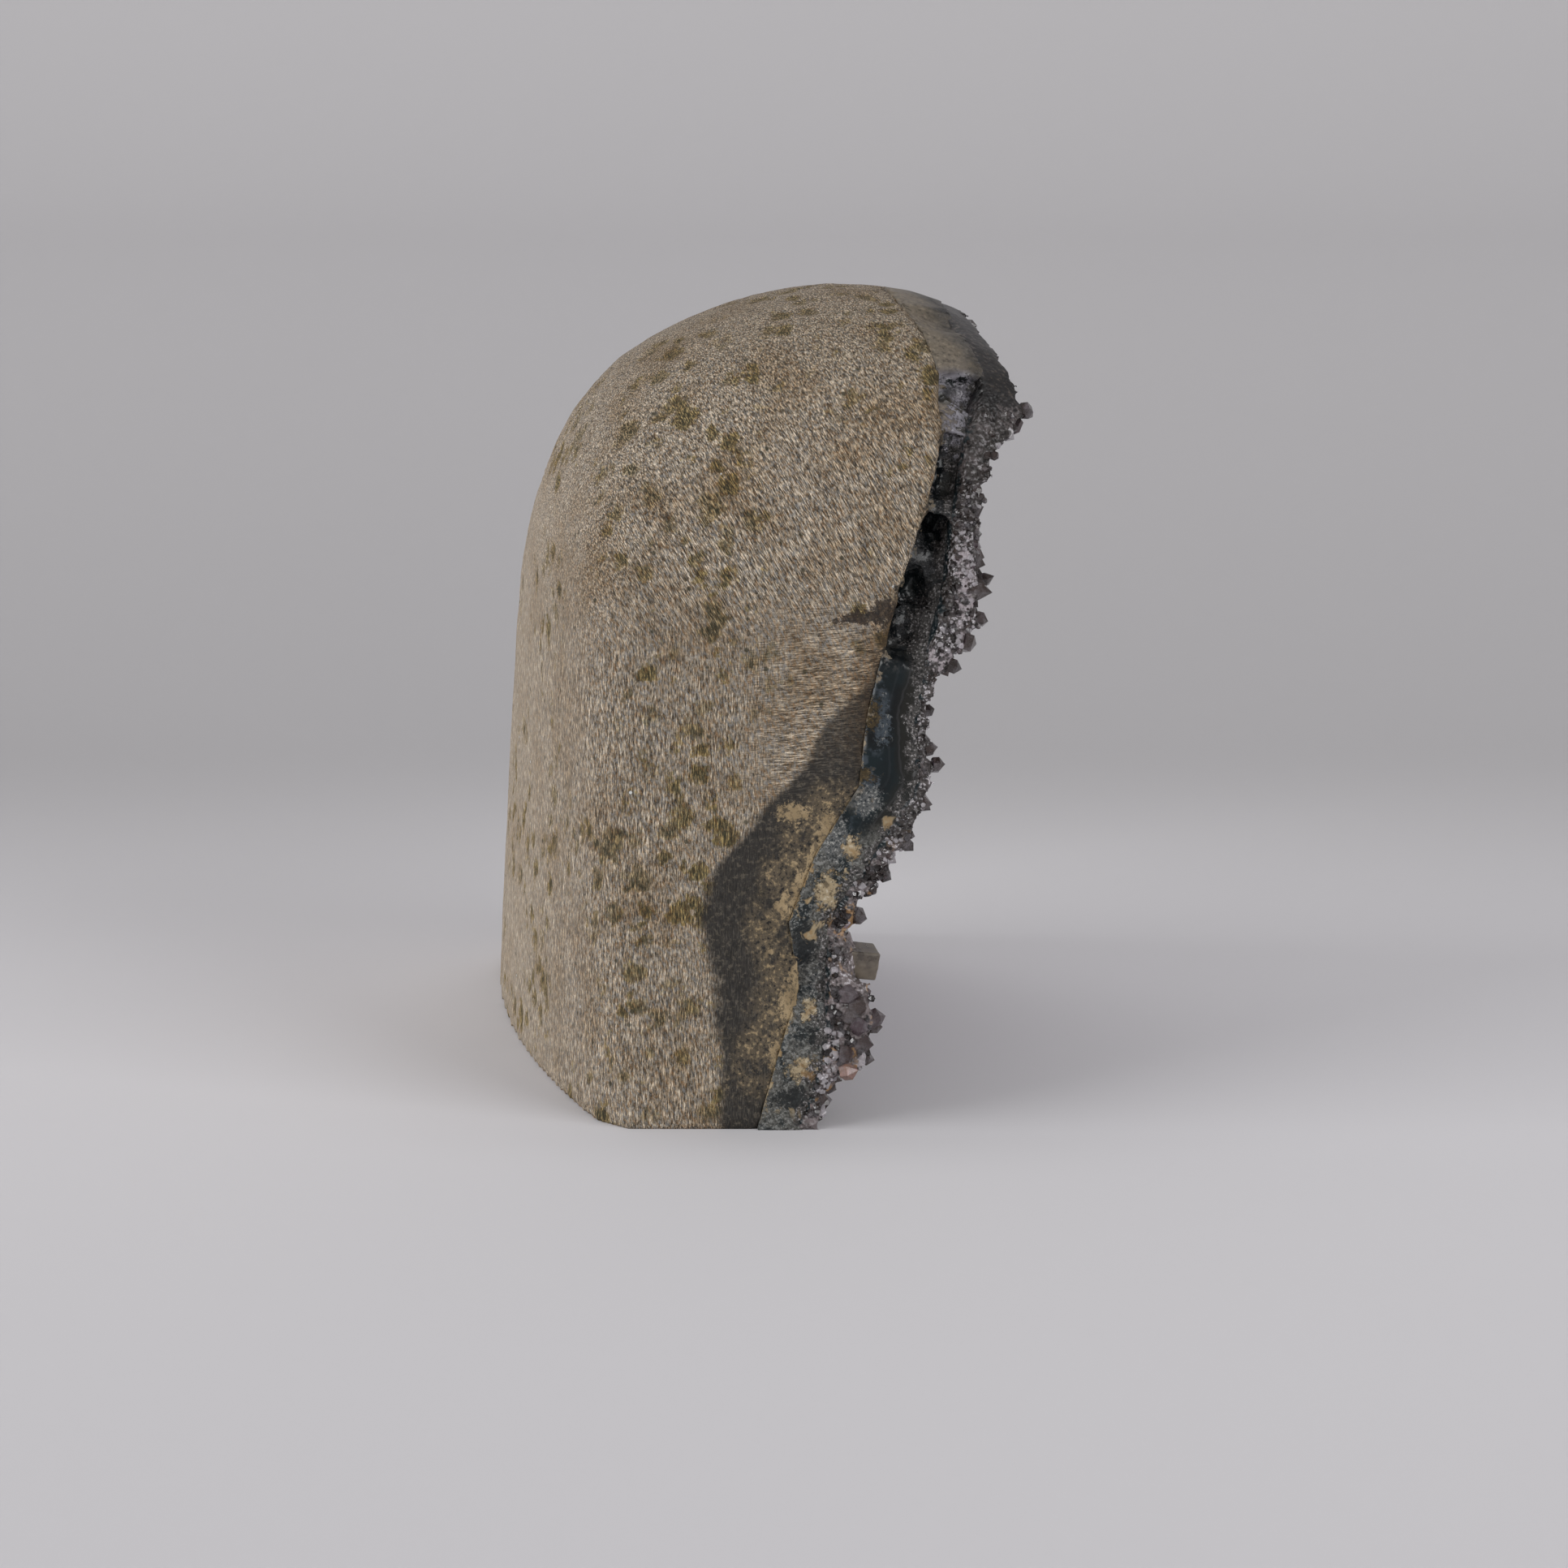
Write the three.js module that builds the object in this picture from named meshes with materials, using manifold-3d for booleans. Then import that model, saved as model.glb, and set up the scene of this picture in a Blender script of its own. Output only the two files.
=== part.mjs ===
// Cut-base amethyst druzy: a ground block of basalt that stands on a sawn base, with a band of agate
// and a crust of amethyst crystals on one side. Millimetres, +Z up, +X out of the crystal face,
// Y along the width of that face. The work frame has its origin on the sawn plane at the near end,
// and the finished group is shifted so that the origin is under the middle of its box.

import * as THREE from "three";
import { mergeVertices } from "three/addons/utils/BufferGeometryUtils.js";
import { ImprovedNoise } from "three/addons/math/ImprovedNoise.js";
import Module from "manifold-3d";

// Driving dimensions of the ground block
const height = 100; // sawn base to the crown
const width = 104; // near end to far end, along the base
const backBulge = -39.8; // X of the back where it stands out most
const backBulgeAt = 88; // Y of that place
const backCurve = 0.0023; // how fast the back turns in away from there, per square millimetre
const backLean = 0.055; // run towards +X for each millimetre of rise
const nearLean = 0.2126; // the near end leans back, run per millimetre of rise
const farLean = 0.3; // the far end leans towards the near end
const arris = 5; // blend between the back and the near end
const farArris = 18; // blend between the back and the far end
const crownRidgeX = 8; // the crown is highest along this line
const crownTopY = 48; // and highest of all here
const crownCurveBack = 0.0108; // drop away from the highest point, per square millimetre
const crownCurveFace = 0.0145; // the same towards the crystal face
const crownCurveY = 0.0112; // the same towards the two ends
const shoulder = 14; // blend between the crown and the sides
const faceLimit = 44; // the block is ground no further out than this, past the crystal face
const stoneDetail = 12; // divisions of each icosahedron edge
const heart = new THREE.Vector3(-4, 50, 40); // a point well inside the block

// Layers on the crystal side. Each profile is X against Z at the near end.
const contactProfile = [
  [-20, -5], [0, -3.1], [12, 0.4], [18, 2.1], [23, 0.6], [32, 3.3], [41.5, 9.4], [48, 10.1],
  [54, 11.3], [60, 12.9], [70, 15.6], [79, 19.3], [87, 20.8], [92, 20.8], [97, 22.4], [120, 22.4],
];
const agateProfile = [
  [-20, 1.2], [0, 2], [4, 2.6], [9, 5.2], [14, 5.8], [19, 5.4], [24, 5.2], [30, 8], [36, 13.6], [41, 16.4], [49, 16.5],
  [54, 16.3], [60, 19], [70, 21], [79, 21.8], [84, 23.8], [89, 26.6], [100, 28.6], [120, 29],
];
const bedProfile = [
  [-20, 3.4], [0, 3.8], [4, 4.2], [6, 5.2], [8, 8.4], [10, 10.8], [16, 9.6], [18.5, 7.6], [22, 6.8], [25, 7.2],
  [28, 9.2], [31, 11], [36, 15.6], [38, 16.8], [49, 17.4], [53, 17.4], [60, 22.4], [70, 23.8], [75, 23.2],
  [81, 25.6], [86, 31], [91, 33.6], [120, 34.4],
];
// Away from the near end the face follows one plain curve, and the layers under it keep their depth
const plainProfile = [[-20, 2], [0, 3.4], [24, 6.6], [38, 13], [60, 20.4], [90, 27.6], [120, 30]];
const plainFrom = 3; // the plain curve starts to take over this far in from the near end
const plainAfter = 34; // and has taken over here
const plainAgate = 7.5; // thickness of the agate there
const plainCrust = 2.6; // thickness of the crust there
const bowlDepth = 6; // the crystal face is hollow in the middle, as a geode wall is
const bowlShape = 0.8; // under 1, the hollow is flat in the middle and steeper at the rim
const bowlRim = 5; // width of the rim at the near end, which has neither hollow nor lumps
const lumpHeight = 3.2; // rounded lumps of the crystal face
const lumpSpan = 13;
const smallLumpSpan = 6;
const smallLumpShare = 0.5; // height of the small lumps, as a share of the large ones
const lumpRamp = 2.5; // how soon the lumps reach their full height, away from the two ends
const layerGap = 0.1; // clearance between one mineral and the next
const layerMargin = 16; // the layers run past the block before they are trimmed to it
const layerStep = 8.2; // grid of the layers

// Crystals of the crust: a six-sided lattice of tips, with valleys where three crystals meet
const crystalPitch = 3.9;
const crystalJitter = 0.3; // sideways shift of a tip, as a share of the pitch
const crystalRise = [1, 2.6]; // height of the tips over the valleys
// Larger points that stand out of the lattice, most of them low on the face
const pointCount = 26;
const pointLowest = 2; // the lowest point's height on the face
const pointHighest = 92;
const pointCrowding = 1.6; // over 1, more of the points are low on the face
const pointRadius = [1.8, 3];
const pointSlope = 1.5; // length for each millimetre of radius
const pointRoot = 0.7; // share of its length that a point stands out of the crust
const pointTilt = 0.5; // largest lean from the crust's own normal, radians
const pointSides = 6;
const pointShift = 0.3; // largest sideways shift of a point's tip, as a share of its radius

// One blocky crystal stands out of the lower part of the crust, near the near end
const blockSize = [8.4, 4.8, 4.1]; // mostly buried along X
const blockPlace = [7.4, 9.5, 19.6];
const blockTurn = [0.12, 0.14, 0.2];

// Shell-shaped chips in the rim of the agate: [turn round the crystal side in degrees, radius, bite]
// At 0 degrees a chip is at the far end, at 90 on the crown and at 180 at the near end.
const rimChips = [
  [117, 8, 2.6], [127, 8, 2.2], [138, 9, 2.6], [146, 6, 1.8], [197, 6, 1.2],
  [101, 9, 1.6], [82, 7, 1.6], [64, 10, 1.7], [46, 8, 2], [28, 9, 1.7], [9, 7, 1.5], [-9, 8, 1.6],
];
const chipHeart = new THREE.Vector3(20, 50, 34); // the turns of the chips are taken round this point
const chipDetail = 2;

const wasm = await Module();
wasm.setup();
const noise = new ImprovedNoise();

// A repeatable source of numbers from 0 to 1
let seed = 20;
function random() {
  seed = (seed * 16807) % 2147483647;
  return seed / 2147483647;
}
const between = ([low, high]) => low + (high - low) * random();

// The larger of two distances, rounded over a blend of the given reach
function smoothMax(a, b, reach) {
  const overlap = Math.max(reach - Math.abs(a - b), 0) / reach;
  return Math.max(a, b) + (overlap * overlap * reach) / 4;
}

// Below zero inside the ground block, zero on its surface. The sawn base is cut afterwards.
function groundDistance(p) {
  const back = backBulge + backCurve * (p.y - backBulgeAt) ** 2 + backLean * p.z - p.x;
  const nearEnd = (nearLean * p.z - p.y) / Math.hypot(1, nearLean);
  const farEnd = (p.y - width + farLean * p.z) / Math.hypot(1, farLean);
  const sides = smoothMax(smoothMax(back, nearEnd, arris), farEnd, farArris);
  const runX = p.x - crownRidgeX;
  const runY = p.y - crownTopY;
  const curveX = runX < 0 ? crownCurveBack : crownCurveFace;
  const drop = curveX * runX ** 2 + crownCurveY * runY ** 2;
  const slope = Math.hypot(1, 2 * curveX * runX, 2 * crownCurveY * runY);
  const crown = (p.z - height + drop) / slope;
  return Math.max(smoothMax(sides, crown, shoulder), p.x - faceLimit);
}

// How far the ground surface is from a point inside, along a direction
function reachTo(start, direction) {
  let near = 0;
  let far = 2 * width;
  const p = new THREE.Vector3();
  for (let step = 0; step < 40; step++) {
    const middle = (near + far) / 2;
    p.copy(direction).multiplyScalar(middle).add(start);
    if (groundDistance(p) < 0) near = middle;
    else far = middle;
  }
  return near;
}

function solidFrom(geometry) {
  const bare = geometry.clone();
  bare.deleteAttribute("normal");
  bare.deleteAttribute("uv");
  const merged = mergeVertices(bare, 1e-4);
  const vertProperties = merged.attributes.position.array;
  const triVerts = new Uint32Array(merged.index.array);
  return new wasm.Manifold(new wasm.Mesh({ numProp: 3, vertProperties, triVerts }));
}

function geometryFrom(solid) {
  const mesh = solid.getMesh();
  const geometry = new THREE.BufferGeometry();
  geometry.setAttribute("position", new THREE.BufferAttribute(mesh.vertProperties, 3));
  geometry.setIndex(new THREE.BufferAttribute(mesh.triVerts, 1));
  geometry.computeVertexNormals();
  return geometry;
}

// The block as ground all round, then sawn flat at Z 0
function makeBlock() {
  const geometry = new THREE.IcosahedronGeometry(1, stoneDetail);
  const position = geometry.attributes.position;
  const direction = new THREE.Vector3();
  for (let i = 0; i < position.count; i++) {
    direction.fromBufferAttribute(position, i).normalize();
    const reach = reachTo(heart, direction);
    direction.multiplyScalar(reach).add(heart);
    position.setXYZ(i, direction.x, direction.y, direction.z);
  }
  const roomy = 3 * width;
  const aboveSaw = new THREE.BoxGeometry(roomy, roomy, roomy).translate(0, width / 2, roomy / 2);
  return solidFrom(geometry).intersect(solidFrom(aboveSaw));
}

function profile(points) {
  const curve = new THREE.CubicInterpolant(points.map((p) => p[0]), points.map((p) => p[1]), 1);
  return (z) => curve.evaluate(z)[0];
}
const contactX = profile(contactProfile);
const agateX = profile(agateProfile);
const bedX = profile(bedProfile);
const plainX = profile(plainProfile);

// 0 at the two ends of the crystal face and 1 along its middle
function inward(y, z) {
  const nearRim = nearLean * z + bowlRim;
  const farRim = width - farLean * z;
  const share = THREE.MathUtils.clamp((y - nearRim) / (farRim - nearRim), 0, 1);
  return Math.sin(Math.PI * share);
}

// X of a layer that has one profile at the near end and lies at a plain depth elsewhere
function layerX(nearX, plainDepth, y, z) {
  const plain = THREE.MathUtils.smoothstep(y - nearLean * z, plainFrom, plainAfter);
  const depth = inward(y, z);
  const largeLumps = noise.noise(y / lumpSpan, z / lumpSpan, 0.5);
  const smallLumps = noise.noise(y / smallLumpSpan, z / smallLumpSpan, 7.5);
  const lumps = lumpHeight * (largeLumps + smallLumpShare * smallLumps) * Math.min(1, lumpRamp * depth);
  const shift = lumps - bowlDepth * depth ** bowlShape;
  return THREE.MathUtils.lerp(nearX(z), plainX(z) - plainDepth, plain) + shift;
}
const contact = (y, z) => layerX(contactX, plainAgate + plainCrust, y, z);
const agateFace = (y, z) => layerX(agateX, plainCrust, y, z);
const bed = (y, z) => layerX(bedX, 0, y, z);

// Everything behind a surface that gives X as a function of Y and Z
function behind(surface) {
  const sizeY = width + 2 * layerMargin;
  const sizeZ = height + 2 * layerMargin;
  const cellsY = Math.round(sizeY / layerStep);
  const cellsZ = Math.round(sizeZ / layerStep);
  const geometry = new THREE.BoxGeometry(1, sizeY, sizeZ, 1, cellsY, cellsZ);
  geometry.translate(0, width / 2, height / 2);
  const position = geometry.attributes.position;
  for (let i = 0; i < position.count; i++) {
    const isBack = position.getX(i) < 0;
    const z = position.getZ(i);
    const y = position.getY(i) + nearLean * z; // one row of the grid lies along the near end
    position.setXYZ(i, isBack ? backBulge - layerMargin : surface(y, z), y, z);
  }
  return solidFrom(geometry);
}

// The crust's own direction outwards at a place on the face
function faceNormal(y, z) {
  const slopeY = (bed(y + 1, z) - bed(y - 1, z)) / 2;
  const slopeZ = (bed(y, z + 1) - bed(y, z - 1)) / 2;
  return new THREE.Vector3(1, -slopeY, -slopeZ).normalize();
}

// Everything behind a sheet of triangles that faces +X: the sheet, a flat copy at the back and walls
function behindSheet(sheet) {
  const front = mergeVertices(sheet, 1e-4);
  const corners = front.attributes.position;
  const vertices = Array.from(corners.array);
  for (let i = 0; i < corners.count; i++) {
    vertices.push(backBulge - layerMargin, corners.getY(i), corners.getZ(i));
  }
  const index = Array.from(front.index.array);
  const edges = new Set();
  for (let i = 0; i < index.length; i += 3) {
    for (let k = 0; k < 3; k++) edges.add(`${index[i + k]} ${index[i + ((k + 1) % 3)]}`);
  }
  const faces = [...index];
  const back = corners.count;
  for (let i = 0; i < index.length; i += 3) {
    faces.push(back + index[i + 2], back + index[i + 1], back + index[i]);
  }
  for (const edge of edges) {
    const [a, b] = edge.split(" ").map(Number);
    const isRim = !edges.has(`${b} ${a}`);
    if (isRim) faces.push(b, a, back + a, b, back + a, back + b);
  }
  const geometry = new THREE.BufferGeometry();
  geometry.setAttribute("position", new THREE.Float32BufferAttribute(vertices, 3));
  geometry.setIndex(faces);
  return solidFrom(geometry);
}

// Flat-faced crystals side by side. Each rises from the six valleys round it to a tip of its own.
function makeDruse() {
  const rowStep = (crystalPitch * Math.sqrt(3)) / 2;
  const rows = Math.ceil((height + layerMargin) / rowStep);
  const columns = Math.ceil((width + layerMargin) / crystalPitch);
  const centres = [];
  for (let row = 0; row < rows; row++) {
    centres.push([]);
    for (let column = 0; column < columns; column++) {
      const shift = () => between([-crystalJitter, crystalJitter]) * crystalPitch;
      const y = (column + 0.5 * (row % 2)) * crystalPitch - layerMargin / 2 + shift();
      const z = row * rowStep - layerMargin / 2 + shift();
      centres[row].push(new THREE.Vector3(bed(y, z), y, z));
    }
  }
  const roundEven = [[0, 1], [1, 0], [1, -1], [0, -1], [-1, -1], [-1, 0]];
  const roundOdd = [[0, 1], [1, 1], [1, 0], [0, -1], [-1, 0], [-1, 1]];
  const vertices = [];
  for (let row = 1; row < rows - 1; row++) {
    for (let column = 1; column < columns - 1; column++) {
      const centre = centres[row][column];
      const round = row % 2 ? roundOdd : roundEven;
      const neighbours = round.map(([up, along]) => centres[row + up][column + along]);
      const tip = faceNormal(centre.y, centre.z).multiplyScalar(between(crystalRise)).add(centre);
      for (let k = 0; k < neighbours.length; k++) {
        const previous = neighbours.at(k - 1);
        const next = neighbours[(k + 1) % neighbours.length];
        const valleyA = previous.clone().add(neighbours[k]).add(centre).divideScalar(3);
        const valleyB = neighbours[k].clone().add(next).add(centre).divideScalar(3);
        vertices.push(...tip, ...valleyA, ...valleyB);
      }
    }
  }
  const sheet = new THREE.BufferGeometry();
  sheet.setAttribute("position", new THREE.Float32BufferAttribute(vertices, 3));
  return behindSheet(sheet);
}

// One six-sided quartz point with its tip a little off its axis, along +Z
function quartzPoint(radius) {
  const long = radius * pointSlope;
  const geometry = new THREE.ConeGeometry(radius, long, pointSides).rotateX(Math.PI / 2);
  geometry.translate(0, 0, (pointRoot - 0.5) * long);
  const position = geometry.attributes.position;
  const shift = () => between([-pointShift, pointShift]) * radius;
  const tip = [shift(), shift()];
  for (let i = 0; i < position.count; i++) {
    const isTip = position.getZ(i) > 0.5 * pointRoot * long;
    if (isTip) position.setXY(i, ...tip);
  }
  return geometry;
}

function makePoint() {
  const y = between([0, width]);
  const z = THREE.MathUtils.lerp(pointLowest, pointHighest, random() ** pointCrowding);
  const outward = faceNormal(y, z);
  const lean = () => between([-pointTilt, pointTilt]);
  outward.add(new THREE.Vector3(0, lean(), lean())).normalize();
  const turn = new THREE.Quaternion().setFromUnitVectors(new THREE.Vector3(0, 0, 1), outward);
  const geometry = quartzPoint(between(pointRadius)).rotateZ(random() * Math.PI);
  return solidFrom(geometry.applyQuaternion(turn).translate(bed(y, z), y, z));
}

function makeBlockyCrystal() {
  const geometry = new THREE.BoxGeometry(...blockSize);
  geometry.rotateX(blockTurn[0]).rotateY(blockTurn[1]).rotateZ(blockTurn[2]);
  return solidFrom(geometry.translate(...blockPlace));
}

function makeChip([turn, radius, bite]) {
  const angle = THREE.MathUtils.degToRad(turn);
  const outward = new THREE.Vector3(0, Math.cos(angle), Math.sin(angle));
  const middle = outward.clone().multiplyScalar(reachTo(chipHeart, outward) + radius - bite).add(chipHeart);
  const rimX = (contact(middle.y, middle.z) + agateFace(middle.y, middle.z)) / 2;
  const geometry = new THREE.IcosahedronGeometry(radius, chipDetail);
  return solidFrom(geometry.translate(rimX, middle.y, middle.z));
}

const block = makeBlock();
const gapAfter = (surface) => (y, z) => surface(y, z) + layerGap;
const chips = wasm.Manifold.union(rimChips.map(makeChip));
const points = Array.from({ length: pointCount }, makePoint);
const grown = wasm.Manifold.union([makeDruse(), ...points, makeBlockyCrystal()]);

const hostRock = block.intersect(behind(contact));
const agateBand = block.intersect(behind(agateFace)).subtract(behind(gapAfter(contact))).subtract(chips);
const crust = block.intersect(grown).subtract(behind(gapAfter(agateFace)));

const finishes = {
  host_rock: new THREE.MeshStandardMaterial({ color: 0x857a6b, roughness: 0.85, metalness: 0 }),
  agate_band: new THREE.MeshStandardMaterial({ color: 0x2b3234, roughness: 0.35, metalness: 0 }),
  amethyst_crust: new THREE.MeshStandardMaterial({ color: 0x75677f, roughness: 0.2, metalness: 0 }),
};

function piece(name, solid) {
  const largest = solid.decompose().sort((a, b) => b.volume() - a.volume())[0];
  const mesh = new THREE.Mesh(geometryFrom(largest), finishes[name]);
  mesh.name = name;
  return mesh;
}

const druzy = new THREE.Group();
druzy.add(piece("host_rock", hostRock), piece("agate_band", agateBand), piece("amethyst_crust", crust));

const box = new THREE.Box3().setFromObject(druzy);
const middle = box.getCenter(new THREE.Vector3());
druzy.position.set(-middle.x, -middle.y, -box.min.z);

export default druzy;
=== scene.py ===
import math
import random

import bmesh
import bpy
import numpy as np
from mathutils import Matrix, Vector, noise
from mathutils.bvhtree import BVHTree


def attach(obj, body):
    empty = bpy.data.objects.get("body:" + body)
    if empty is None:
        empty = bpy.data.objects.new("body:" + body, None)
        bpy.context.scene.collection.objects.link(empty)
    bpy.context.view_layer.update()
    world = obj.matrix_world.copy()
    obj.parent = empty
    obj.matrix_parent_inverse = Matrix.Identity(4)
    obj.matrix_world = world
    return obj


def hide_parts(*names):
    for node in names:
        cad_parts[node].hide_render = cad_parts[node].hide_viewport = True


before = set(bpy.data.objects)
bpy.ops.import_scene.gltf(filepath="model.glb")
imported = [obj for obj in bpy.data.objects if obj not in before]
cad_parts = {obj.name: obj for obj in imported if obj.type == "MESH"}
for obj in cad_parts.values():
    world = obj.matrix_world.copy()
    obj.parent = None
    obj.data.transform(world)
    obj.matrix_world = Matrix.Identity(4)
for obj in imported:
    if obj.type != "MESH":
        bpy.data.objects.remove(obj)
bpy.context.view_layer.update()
scene = bpy.context.scene
mm = 0.001


# mesh helpers; sizes and places are in millimetres

weldWithin = 0.002  # CAD vertices closer than this are one
flatUnder = 0.3  # what is lower than this is the sawn base
freeFrom = (0.4, 1.6)  # from here up the surface may be uneven
wobbleSeed = 1795642179
noise.seed_set(wobbleSeed)  # without it noise_vector goes by the clock


# a merged copy of a CAD node to work on
def nodeCopy(node):
    bm = bmesh.new()
    bm.from_mesh(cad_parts[node].data)
    bmesh.ops.remove_doubles(bm, verts=bm.verts, dist=weldWithin * mm)
    return bm


def only(kind, made):
    return [part for part in made if isinstance(part, kind)]


def bvhOf(bm):
    tree = BVHTree.FromBMesh(bm)
    bm.free()
    return tree


def linkPiece(name, mesh):
    piece = bpy.data.objects.new(name, mesh)
    scene.collection.objects.link(piece)
    return piece


def meshPiece(name, bm):
    mesh = bpy.data.meshes.new(name)
    bm.to_mesh(mesh)
    bm.free()
    return linkPiece(name, mesh)


# a CAD node on a fine even grid, with its places and normals
def finePiece(name, node, voxel, rounds):
    piece = meshPiece(name, nodeCopy(node))
    grid = piece.modifiers.new("grid", "REMESH")
    grid.mode = "VOXEL"
    grid.voxel_size = voxel * mm
    soften = piece.modifiers.new("soften", "SMOOTH")
    soften.factor = 0.5
    soften.iterations = rounds
    shaped = piece.evaluated_get(bpy.context.evaluated_depsgraph_get())
    mesh = bpy.data.meshes.new_from_object(shaped)
    plain = piece.data
    piece.modifiers.clear()
    piece.data = mesh
    bpy.data.meshes.remove(plain)
    mesh.shade_smooth()
    places = np.empty(len(mesh.vertices) * 3)
    normals = np.empty(len(mesh.vertices) * 3)
    mesh.vertices.foreach_get("co", places)
    mesh.vertex_normals.foreach_get("vector", normals)
    return piece, places.reshape(-1, 3) / mm, normals.reshape(-1, 3)


def writeValues(mesh, layers):
    for name, values in layers.items():
        column = mesh.attributes.new(name, "FLOAT", "POINT")
        column.data.foreach_set("value", np.asarray(values, np.float32))


def save(piece, places, layers):
    mesh = piece.data
    mesh.vertices.foreach_set("co", (places * mm).ravel())
    mesh.update()
    writeValues(mesh, layers)
    print(piece.name, len(mesh.polygons), "faces")
    return piece


def flatten(places):
    places[places[:, 2] < flatUnder, 2] = 0


def distanceTo(bvh, places):
    return np.array([bvh.find_nearest(Vector(p) * mm)[3] / mm for p in places])


# draws the edge of a piece up to its neighbour, and a little into it, so that no groove is left between them
def closeJoin(places, bvh, reach, overlap):
    touching = 0.03
    for n, place in enumerate(places):
        there, normal, face, away = bvh.find_nearest(Vector(place) * mm, reach * mm)
        if there is None:
            continue
        pull = np.array(there) / mm - place
        far = max(away / mm, 1e-6)
        share = min(1, 2 * (1 - far / reach))
        places[n] = place + pull * share * (1 + overlap / far if far > touching else 1)


def ramp(value, low, high):
    t = np.clip((value - low) / (high - low), 0, 1)
    return t * t * (3 - 2 * t)


def overBase(places):
    return ramp(places[:, 2], *freeFrom)


def noiseAt(places, span, seed=0.0):
    shift = Vector((seed, 1.7 * seed, 2.3 * seed))
    return np.array([noise.noise(Vector(p) / span + shift) for p in places])


# node helpers; nodes go into the tree that was begun last

drawing = {}


def feed(socket, value):
    if isinstance(value, bpy.types.NodeSocket):
        drawing["tree"].links.new(value, socket)
    else:
        socket.default_value = value


def put(kind, inputs, **settings):
    node = drawing["tree"].nodes.new(kind)
    for name, value in settings.items():
        setattr(node, name, value)
    for name, value in inputs.items():
        feed(node.inputs[name], value)
    return node


def maths(operation, first, second=0.0):
    return put("ShaderNodeMath", {0: first, 1: second}, operation=operation).outputs[0]


def plus(first, second):
    return maths("ADD", first, second)


def minus(first, second):
    return maths("SUBTRACT", first, second)


def times(*values):
    total = values[0]
    for value in values[1:]:
        total = maths("MULTIPLY", total, value)
    return total


def most(*masks):
    total = masks[0]
    for mask in masks[1:]:
        total = maths("MAXIMUM", total, mask)
    return total


def vectors(operation, first, second):
    return put("ShaderNodeVectorMath", {0: first, 1: second}, operation=operation).outputs[0]


def scaled(vector, scale):
    return put("ShaderNodeVectorMath", {0: vector, "Scale": scale}, operation="SCALE").outputs[0]


def step(value, low, high, toLow=0.0, toHigh=1.0):
    ends = {"Value": value, "From Min": low, "From Max": high, "To Min": toLow, "To Max": toHigh}
    return put("ShaderNodeMapRange", ends, interpolation_type="SMOOTHSTEP").outputs[0]


def zone(value, low, full, top, end):  # rises from low to full, falls from top to end
    return times(step(value, low, full), step(value, end, top))


def screen(colour):  # colours are given as seen on screen, 0 to 255
    if not isinstance(colour, tuple):
        return colour
    shares = [v / 255 for v in colour]
    return [v / 12.92 if v <= 0.04045 else ((v + 0.055) / 1.055) ** 2.4 for v in shares] + [1]


def blend(factor, first, second, mode="MIX"):
    inputs = {0: factor, 6: screen(first), 7: screen(second)}
    return put("ShaderNodeMix", inputs, data_type="RGBA", blend_type=mode).outputs[2]


def coats(colour, *layers):  # paint over paint: each has its mask, share and colour
    for mask, share, paint in layers:
        colour = blend(times(mask, share), colour, paint)
    return colour


def grained(grains, paint):  # a paint is a colour and the grains in it, by name, share and colour
    colour, *layers = paint
    return coats(colour, *[(grains[name], share, shade) for name, share, shade in layers])


def mixValue(factor, first, second):
    return put("ShaderNodeMix", {0: factor, 2: first, 3: second}, data_type="FLOAT").outputs[0]


def clouds(place, span, detail=2.0, rough=0.5, warp=0.0):
    inputs = {"Vector": place, "Scale": 1 / span, "Detail": detail, "Roughness": rough, "Distortion": warp}
    return put("ShaderNodeTexNoise", inputs).outputs["Fac"]


def blots(place, span, low, high, detail=2.0, rough=0.5):  # clouds with an edge
    return step(clouds(place, span, detail, rough), low, high)


def swing(cloud, reach):  # clouds that go to either side of nothing
    return times(minus(cloud, 0.5), reach)


def ragged(value, place, span, reach, detail=4, rough=0.7):  # a distance made uneven
    return plus(value, swing(clouds(place, span, detail, rough), reach))


def cells(place, scale):
    return put("ShaderNodeTexVoronoi", {"Vector": place, "Scale": scale}).outputs


def colours(value, stops):
    node = put("ShaderNodeValToRGB", {"Fac": value})
    bar = node.color_ramp.elements
    while len(bar) < len(stops):
        bar.new(0.5)
    for element, (at, colour) in zip(bar, stops):
        element.position = at
        element.color = screen(colour)
    return node.outputs["Color"]


def curveOf(value, stops):
    node = put("ShaderNodeFloatCurve", {"Value": value})
    curve = node.mapping.curves[0]
    while len(curve.points) < len(stops):
        curve.points.new(0.5, 0.5)
    for point, (at, height) in zip(curve.points, stops):
        point.location = (at, height)
    node.mapping.update()
    return node.outputs["Value"]


def widthAt(z, widths):  # widths by height over the base
    top = 100.0
    widest = max(width for at, width in widths)
    shares = [(at / top, width / widest) for at, width in widths]
    return times(curveOf(maths("DIVIDE", z, top), shares), widest)


def turned(place, turn, stretch):
    inputs = {"Vector": place, "Rotation": [math.radians(a) for a in turn]}
    rotated = put("ShaderNodeVectorRotate", inputs, rotation_type="EULER_XYZ").outputs[0]
    return vectors("MULTIPLY", rotated, stretch)


def finish(material, values):
    for name, value in values.items():
        feed(material.node_tree.nodes["Principled BSDF"].inputs[name], value)
    return material


def newMaterial(name):  # with Object coordinates in millimetres, whole and apart
    material = bpy.data.materials.new(name)
    material.use_nodes = True
    drawing["tree"] = material.node_tree
    where = scaled(put("ShaderNodeTexCoord", {}).outputs["Object"], 1 / mm)
    apart = put("ShaderNodeSeparateXYZ", {0: where}).outputs
    return material, where, apart["X"], apart["Y"], apart["Z"]


def layer(name):
    return put("ShaderNodeAttribute", {}, attribute_name=name).outputs["Fac"]


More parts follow.
